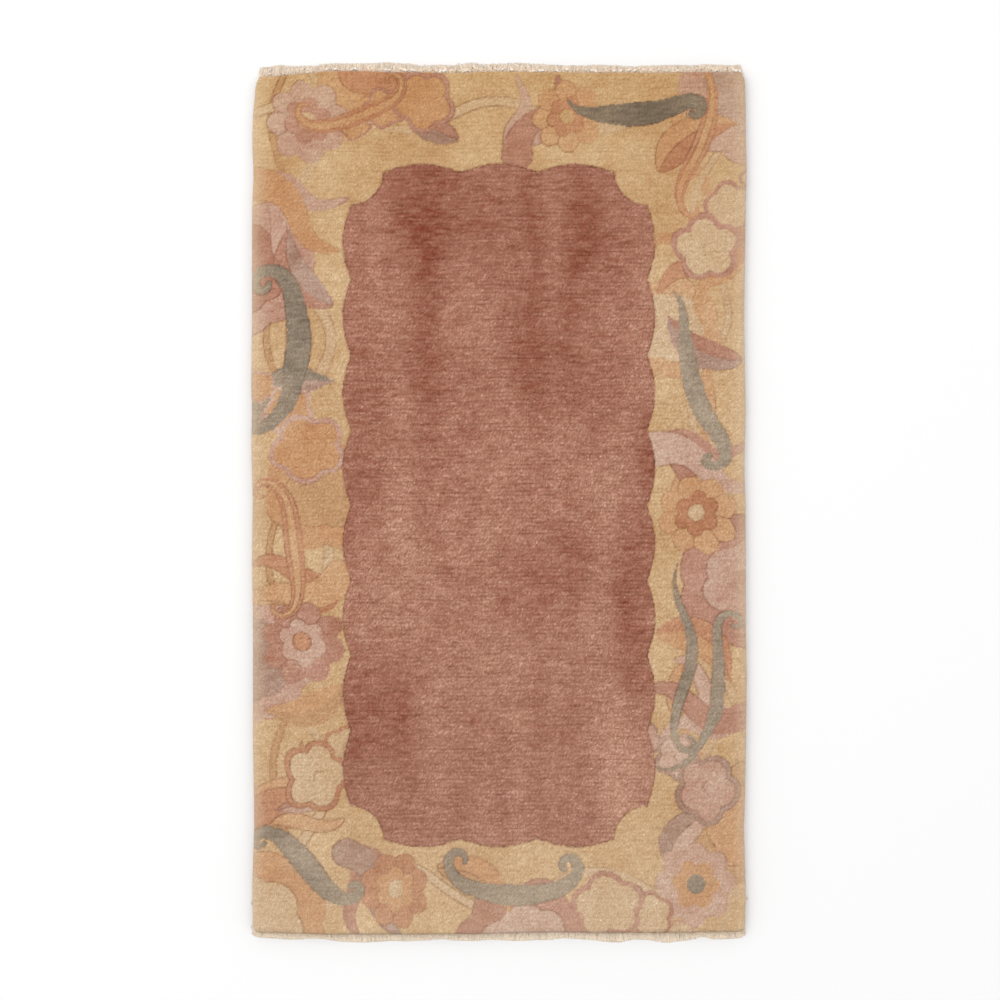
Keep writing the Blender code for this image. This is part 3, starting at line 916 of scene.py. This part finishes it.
def strands(paths, radii, sides):
    """Points and faces of tubes. paths is strands by stations by 3; radii may vary by side."""
    along = np.gradient(paths, axis=1)
    along /= np.linalg.norm(along, axis=2, keepdims=True)
    beside = np.cross(along, (0.0, 0.0, 1.0))
    beside /= np.linalg.norm(beside, axis=2, keepdims=True)
    above = np.cross(beside, along)
    turn = 2 * np.pi * (np.arange(sides) + 0.5) / sides
    radii = np.broadcast_to(radii, (*paths.shape[:2], sides))
    ring = np.cos(turn)[:, None] * beside[:, :, None] + np.sin(turn)[:, None] * above[:, :, None]
    points = paths[:, :, None] + radii[..., None] * ring
    count, stations = paths.shape[:2]
    first = np.arange(count)[:, None] * stations * sides
    walls = (first[..., None] + ring_faces(stations, sides)[:, ::-1]).reshape(-1, 4)
    starts = first + np.arange(sides)
    ends = first + stations * sides - 1 - np.arange(sides)
    return points.reshape(-1, 3), walls.tolist() + starts.tolist() + ends.tolist()


def strand_colours(code, count, stations, sides, spread, seed):
    """One tone for each strand, a little different from its neighbours' and along it."""
    random = np.random.default_rng(seed)
    tones = np.exp(spread * random.standard_normal((count, 1, 1, 1)))
    tones = tones * np.exp(spread * random.standard_normal((count, stations, 1, 1)))
    return linear(code) * np.broadcast_to(tones, (count, stations, sides, 1))


test_points, test_faces = strands(np.array([[[0, 0, 0], [0, 1, 0], [0, 2, 0.0]]]), 0.1, 4)
print("a test strand has", len(test_points), "points and", len(test_faces), "faces")

# %% [markdown]
# ## The overcast sides
#
# The outer warps of each side are wrapped with wool, turn beside turn. It is one cord with a
# ridge for each turn, and the ridge climbs round it like a screw thread: the radius grows by
# |sin| of the place along the cord plus the turn about it.

# %% Make the overcast sides
CORD_RADIUS = 2.0 * MM
CORD_OUT = 0.6 * MM  # how far it shows beyond the pile
CORD_CORE = 0.2 * MM  # how far under the radius the ridges begin
CORD_RIDGE = 0.45 * MM
CORD_PITCH = 3.2 * MM
CORD_SIDES = 9
STATIONS_PER_TURN = 4

cords = yarn_material("overcast wool", 0.6 * MM, 0.5, 0.14, 0.15)


def overcast(name, column, sign):
    """One side's cord, from end to end of its CAD node, under one column of the pile's rim."""
    low, high = (np.array(corner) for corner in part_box(name))
    count = int((high[1] - low[1]) / CORD_PITCH * STATIONS_PER_TURN)
    y = np.linspace(low[1], high[1], count)
    x = np.interp(y, rim_y[:, column], rim_x[:, column]) + sign * (CORD_OUT - CORD_RADIUS)
    path = np.stack([x, y, np.full(count, CORD_RADIUS)], 1)[None]
    turn = np.arange(CORD_SIDES) / CORD_SIDES
    ridge = np.abs(np.sin(np.pi * (y[:, None] / CORD_PITCH + turn)))
    radii = CORD_RADIUS - CORD_CORE + CORD_RIDGE * ridge
    points, faces = strands(path, radii[None], CORD_SIDES)
    points[:, 2] = np.maximum(points[:, 2], 0)
    random = np.random.default_rng(14 + (sign > 0))
    wraps = random.standard_normal(count // STATIONS_PER_TURN + 1)
    tones = np.exp(0.10 * wraps[np.arange(count) // STATIONS_PER_TURN])[:, None, None]
    # Painted shade: the wool between two turns is darker than on their ridges.
    colours = linear("#B7A393") * tones * (0.72 + 0.28 * ridge[..., None])
    return add_mesh(name + "_wrapped", points, faces, colours, cords, [name])


side_cords = [overcast("side_cord_left", 0, -1), overcast("side_cord_right", -1, 1)]

# %% [markdown]
# ## The head fringe
#
# At the head the warp ends are gathered in groups, and each group is tied in a flat knot close
# to the pile. The ends then fray and mat together to one mottled band. Three layers make it:
# thin ends that lean every way, two thicker turns of each group's knot laid across them, and
# beside the pile a few short near-white loops, painted light that stands for the lit white
# ground seen through gaps between the fringe and the pile, as white specks.

# %% Make the head fringe
HEAD_STRANDS = 1700
HEAD_STATIONS = 6
HEAD_GROUPS = 66
HEAD_LOCKS = 60  # in the solid
HEAD_REACH = 3.0 * MM  # how far the ends go beyond the solid's, and how much more at corners
HEAD_CORNER_REACH = 1.6 * MM
HEAD_LEAN = 5.0 * MM
HEAD_CORNER = 6.0 * MM  # how far a corner's end leans in, and how wide the corner is
HEAD_CURL = 0.7 * MM
HEAD_RADIUS = 0.74 * MM
KNOT_RADIUS = 0.85 * MM
SPECKS = 34
SPECK_RADIUS = 1.4 * MM
SPECK_SHARE = 0.8  # of a knot's distance from the pile, and of its climb
END_ROOM = 0.5 * MM  # between the outermost strands and the pile's sides
CORNER_ROOTS = 8.0 * MM  # how far down the round corners the strands go on
warp = yarn_material("cotton warp", 0.45 * MM, 0.4, 0.12, 0.10)


def tip_line(node, count, sign):
    """How far along Y the locks of a CAD fringe reach, as places across and their reach."""
    points = solid_points(node)
    low, high = points[:, 0].min(), points[:, 0].max()
    number = np.clip(((points[:, 0] - low) / (high - low) * count).astype(int), 0, count - 1)
    tips = np.full(count, -FAR)
    np.maximum.at(tips, number, sign * points[:, 1])
    return low + (np.arange(count) + 0.5) * (high - low) / count, sign * tips


def end_rim(row):
    """The rim of one end and its round corners, from left to right: x and y."""
    corner = np.flatnonzero(np.abs(top_v - top_v[row]) * LENGTH < CORNER_ROOTS)
    down = corner[::-1] if row == 0 else corner
    return [
        np.concatenate([line[down, 0], line[row, 1:-1], line[down[::-1], -1]])
        for line in (rim_x, rim_y)
    ]


def fringe_roots(row, count, random):
    """Places for roots along one end of the pile: evenly spread, each a little off."""
    line_x, line_y = end_rim(row)
    low, high = line_x[0] + END_ROOM, line_x[-1] - END_ROOM
    step = (high - low) / count
    x = low + step * (np.arange(count) + random.uniform(0, 1, count))
    return x, np.interp(x, line_x, line_y)


def at_corner(x, width):
    """-1 at the left end of sorted places, 1 at the right end, and fading within a width."""
    return np.exp((x - x[-1]) / width) - np.exp((x[0] - x) / width)


random = np.random.default_rng(16)
start_x, root_y = fringe_roots(-1, HEAD_STRANDS, random)
reach_y = np.interp(start_x, *tip_line("head_fringe", HEAD_LOCKS, 1)) + HEAD_REACH
reach_y += HEAD_CORNER_REACH * np.abs(at_corner(start_x, 10 * MM))
reach_y += 0.8 * MM * soft_noise((1, HEAD_STRANDS), 22, 0, 26)[0]
reach_y -= random.uniform(0, 1.6, HEAD_STRANDS) * MM
t = np.linspace(0, 1, HEAD_STATIONS)[None, :]
cornered = at_corner(start_x, HEAD_CORNER)
lean = random.normal(0, HEAD_LEAN, HEAD_STRANDS) * (1 - np.abs(cornered))
lean -= HEAD_CORNER * cornered
curls = random.uniform(0.6, 1.5, (HEAD_STRANDS, 1)) * t
curls += random.uniform(0, 1, (HEAD_STRANDS, 1))
x = start_x[:, None] + lean[:, None] * t
x += HEAD_CURL * np.sin(2 * np.pi * curls)
y = (root_y - 0.8 * MM)[:, None] + (reach_y - root_y)[:, None] * t
level = random.uniform(0.5, 2.7, (HEAD_STRANDS, 1)) * MM
z = 0.45 * MM + level * (1 - 0.75 * t**2)
paths = np.stack([x, y, z], 2)
radii = (HEAD_RADIUS * (1 - 0.45 * t**2))[..., None]
fray_points, fray_faces = strands(paths, radii, 3)
fray_tints = strand_colours("#F5E4D0", HEAD_STRANDS, HEAD_STATIONS, 3, 0.08, 17)

step = (start_x[-1] - start_x[0]) / HEAD_GROUPS
middle = np.repeat(start_x[0] + step * (np.arange(HEAD_GROUPS) + 0.5), 2)
middle = np.concatenate([middle, random.uniform(start_x[0], start_x[-1], SPECKS)])
is_speck = (np.arange(len(middle)) >= 2 * HEAD_GROUPS)[:, None]
scale = np.where(is_speck, SPECK_SHARE, 1)
middle = middle[:, None] + random.normal(0, 0.4, is_speck.shape) * MM
t = np.linspace(-1, 1, 5)[None, :]
half_length = np.where(is_speck, 1.2 * MM, 0.42 * step)
half_length = half_length * random.uniform(0.7, 1.05, is_speck.shape)
from_pile = random.uniform(1.6, 4.6, is_speck.shape) * scale
climb = random.choice((-1.3, 1.1), is_speck.shape) * scale
knot_x = middle + half_length * t
knot_y = np.interp(middle, rim_x[-1], rim_y[-1]) + (from_pile + climb * t) * MM
knot_z = (2.9 + 1.2 * is_speck - 1.4 * t**2) * MM
knot_radii = np.where(is_speck, SPECK_RADIUS, KNOT_RADIUS)
knot_radii = (knot_radii * (1 - 0.35 * t**2))[..., None]
knot_points, knot_faces = strands(np.stack([knot_x, knot_y, knot_z], 2), knot_radii, 5)
knot_faces = [[corner + len(fray_points) for corner in face] for face in knot_faces]
knot_tints = strand_colours("#F1DBC4", len(middle), 5, 5, 0.08, 27)
# Painted light: the specks are near-white loops standing for lit white ground seen through gaps.
knot_tints = np.where(is_speck[..., None, None], linear("#FFFCF6"), knot_tints)
head_fringe = add_mesh(
    "head_fringe_tied",
    np.concatenate([fray_points, knot_points]),
    fray_faces + knot_faces,
    np.concatenate([fray_tints.reshape(-1, 3), knot_tints.reshape(-1, 3)]),
    warp,
    ["head_fringe"],
)

# %% [markdown]
# ## The foot fringe
#
# At the foot the warp ends are cut short and brushed to a soft fuzz, a little longer here than
# there. Each strand leans and bends its own way, which keeps the row from looking like a comb.
# With two warps to a knot there are about four strands to a warp: brushing parts its plies.

# %% Make the foot fringe
FOOT_STRANDS = 1800
FOOT_STATIONS = 5
FOOT_LOCKS = 116  # strands in the solid
FOOT_ADDED = 2.1 * MM  # to the solid's own length, before it is made longer by this factor
FOOT_LONGER = 1.36
FOOT_CORNER = 5 * MM  # how wide the shorter and straighter ends at the corners are
FOOT_LEAN = 2.4 * MM  # either way, and outwards at the corners
FOOT_RADIUS = 0.80 * MM


def softened(values, times):
    """Each value averaged 1 : 2 : 1 with its neighbours, over and over."""
    for _ in range(times):
        padded = np.pad(values, 1, "edge")
        values = (padded[:-2] + 2 * padded[1:-1] + padded[2:]) / 4
    return values


random = np.random.default_rng(18)
start_x, start_y = fringe_roots(0, FOOT_STRANDS, random)
tip_x, tip_y = tip_line("foot_fringe", FOOT_LOCKS, -1)
cornered = at_corner(start_x, FOOT_CORNER)
tuft = 0.06 * soft_noise((1, FOOT_STRANDS), 40, 0, 22)[0]
own_length = start_y - np.interp(start_x, tip_x, softened(tip_y, 3)) + FOOT_ADDED
own_length *= FOOT_LONGER + tuft + random.uniform(-0.05, 0.01, FOOT_STRANDS)
own_length *= 1 - 0.5 * np.abs(cornered)
sideways = random.normal(0, FOOT_LEAN, FOOT_STRANDS)
sideways += 1.2 * MM * soft_noise((1, FOOT_STRANDS), 30, 0, 31)[0]
sideways *= 1 - 0.7 * np.abs(cornered)
sideways += FOOT_LEAN * at_corner(start_x, 10 * MM)
t = np.linspace(0, 1, FOOT_STATIONS)[None, :]
bends = random.uniform(0, 1, (FOOT_STRANDS, 1))
bends = bends + random.uniform(0.3, 0.8, (FOOT_STRANDS, 1)) * t
x = start_x[:, None] + sideways[:, None] * t**1.3 + 0.5 * MM * np.sin(2 * np.pi * bends)
y = start_y[:, None] + 1.2 * MM - own_length[:, None] * t
z = 0.55 * MM + random.uniform(0.9, 2.3, (FOOT_STRANDS, 1)) * MM * (1 - t**1.5)
radii = (FOOT_RADIUS * (1 - 0.30 * t))[..., None]
strand_points, strand_faces = strands(np.stack([x, y, z], 2), radii, 3)
tints = strand_colours("#F4E3CD", FOOT_STRANDS, FOOT_STATIONS, 3, 0.06, 19)
tints = tints * (0.96 + 0.14 * t[..., None, None])
foot_fringe = add_mesh(
    "foot_fringe_cut", strand_points, strand_faces, tints, warp, ["foot_fringe"]
)

# %% [markdown]
# ## Loose ends
#
# At the foot's corners, a little way up its sides and at one corner of the head, a few ends of
# the overcasting yarn stand out in small tufts. A tuft is a handful of strands from one root
# that fan out and curl.

# %% Make the loose ends
TUFTS = (  # column of the rim, place along the rug, heading in degrees, strands
    (0, -493, 176, 4),
    (0, -524, 184, 9),
    (-1, -489, -4, 5),
    (-1, -528, -16, 9),
    (-1, 529, 40, 5),
)

random = np.random.default_rng(28)
tuft_paths = []
t = np.linspace(0, 1, 6)
for column, y, heading, count in TUFTS:
    root_x = np.interp(y * MM, rim_y[:, column], rim_x[:, column])
    for angle in np.radians(heading + random.uniform(-38, 38, count)):
        length = random.uniform(2.0, 4.6) * MM
        curl = random.uniform(-1.2, 1.2) * t
        x = root_x + length * np.cumsum(np.cos(angle + curl)) / len(t)
        away = y * MM + length * np.cumsum(np.sin(angle + curl)) / len(t)
        tuft_paths.append(np.stack([x, away, (3.4 - 2.6 * t) * MM], 1))
tuft_points, tuft_faces = strands(np.array(tuft_paths), 0.40 * MM, 4)
tints = strand_colours("#E8DAC4", len(tuft_paths), len(t), 4, 0.08, 29)
both_cords = ["side_cord_left", "side_cord_right"]
loose_ends = add_mesh(
    "loose_ends", tuft_points, tuft_faces, tints, cords, both_cords
)

# %% [markdown]
# ## The woven ground
#
# Under the pile lies the ground that carries it: warp, weft and the backs of the knots, 3 mm
# thick. It is a closed slab. On its underside each knot's back shows the colour of its own
# yarn. Its upper side, which the pile hides, is a plain fan of triangles about one hub.

# %% Make the woven ground
GROUND_TOP = 2.9 * MM
GROUND_SIDE_IN = 4.0 * MM
KNOT_BACK = 0.12 * MM


def ground_sheet(z):
    """One point for each knot's back, drawn in at the sides to make room for the cords."""
    u = np.linspace(0, 1, KNOTS)[None, :]
    v = np.linspace(0, 1, ROWS)[:, None]
    x, y, _ = plan(u, v)
    x = x - GROUND_SIDE_IN * np.clip(x / (0.5 * WIDTH), -1, 1)
    return np.stack([x, y, np.broadcast_to(z, x.shape)], 2)


backs = np.abs(np.random.default_rng(20).standard_normal((ROWS, KNOTS))) * KNOT_BACK
backs[[0, -1]] = 0
backs[:, [0, -1]] = 0
under = ground_sheet(backs)
over_rim = round_rim(ground_sheet(GROUND_TOP))
under_faces = grid_faces(ROWS, KNOTS)[:, ::-1]
numbers = round_rim(np.arange(ROWS * KNOTS).reshape(ROWS, KNOTS))
upper = ROWS * KNOTS + np.arange(len(numbers))
walls = np.stack([numbers, np.roll(numbers, -1), np.roll(upper, -1), upper], 1)
hub = np.array([[0, 0, GROUND_TOP]])
fan = np.stack([upper, np.roll(upper, -1), np.full(len(upper), upper[-1] + 1)], 1)
ground_points = np.concatenate([under.reshape(-1, 3), over_rim, hub])
ground_faces = under_faces.tolist() + walls.tolist() + fan.tolist()
knot_rows = np.searchsorted(top_v, (np.arange(ROWS) + 0.5) / ROWS)
knot_columns = np.searchsorted(top_u, (np.arange(KNOTS) + 0.5) / KNOTS)
ground_colour = YARN_TONES[yarn[np.ix_(knot_rows, knot_columns)]].mean(2) * 0.8
rim_tint = np.broadcast_to(linear("#B7A393"), (len(upper) + 1, 3))
ground_colour = np.concatenate([ground_colour.reshape(-1, 3), rim_tint])
knot_backs = yarn_material("knot backs", 1.4 * MM, 0.8, 0.2, 0.05)
ground = add_mesh(
    "woven_ground", ground_points, ground_faces, ground_colour, knot_backs, ["rug_body"]
)

# %% [markdown]
# ## Floor, light and camera
#
# The photo looks straight down on a rug on white. A long lens four metres up keeps the rug's
# sides parallel, and its frame is 1.23 m across. A large soft light beyond the head's left
# corner gives the grooves their shade, and the white world fills them again.

# %% Add the floor, the lights and the camera
FRAME_WIDTH = 1.23
FRAME_CENTRE = (1.2 * MM, 3.0 * MM)
LENS = 120
SENSOR = 36
FLOOR = 15  # metres from the middle to each side
LIGHT_PLACE = (-1.4, 1.5, 2.6)
LIGHT_SIZE = 2.4
LIGHT_POWER = 24
WORLD_STRENGTH = 0.98

floor_mesh = bpy.data.meshes.new("floor")
floor_corners = [(FLOOR * x, FLOOR * y, 0) for x, y in ((-1, -1), (1, -1), (1, 1), (-1, 1))]
floor_mesh.from_pydata(floor_corners, [], [(0, 1, 2, 3)])
floor = add_object("floor", floor_mesh)
board = bpy.data.materials.new("matt white board")
board.use_nodes = True
sockets = board.node_tree.nodes["Principled BSDF"].inputs
sockets["Base Color"].default_value = (0.9, 0.9, 0.9, 1)
sockets["Roughness"].default_value = 0.9
floor_mesh.materials.append(board)

world = bpy.data.worlds.new("studio")
world.use_nodes = True
sockets = world.node_tree.nodes["Background"].inputs
sockets["Color"].default_value = (1, 1, 1, 1)
sockets["Strength"].default_value = WORLD_STRENGTH
bpy.context.scene.world = world

key_light = bpy.data.lights.new("key light", "AREA")
key_light.energy = LIGHT_POWER
key_light.size = LIGHT_SIZE
lamp = add_object("key light", key_light)
lamp.location = LIGHT_PLACE
lamp.rotation_euler = (-lamp.location).to_track_quat("-Z", "Y").to_euler()

camera_data = bpy.data.cameras.new("camera")
camera_data.lens = LENS
camera_data.sensor_width = SENSOR
camera = add_object("camera", camera_data)
camera.location = (*FRAME_CENTRE, PILE_TOP + FRAME_WIDTH * LENS / SENSOR)
bpy.context.scene.camera = camera
bpy.context.scene.view_settings.view_transform = "Standard"
print("camera at", [round(c, 3) for c in camera.location])
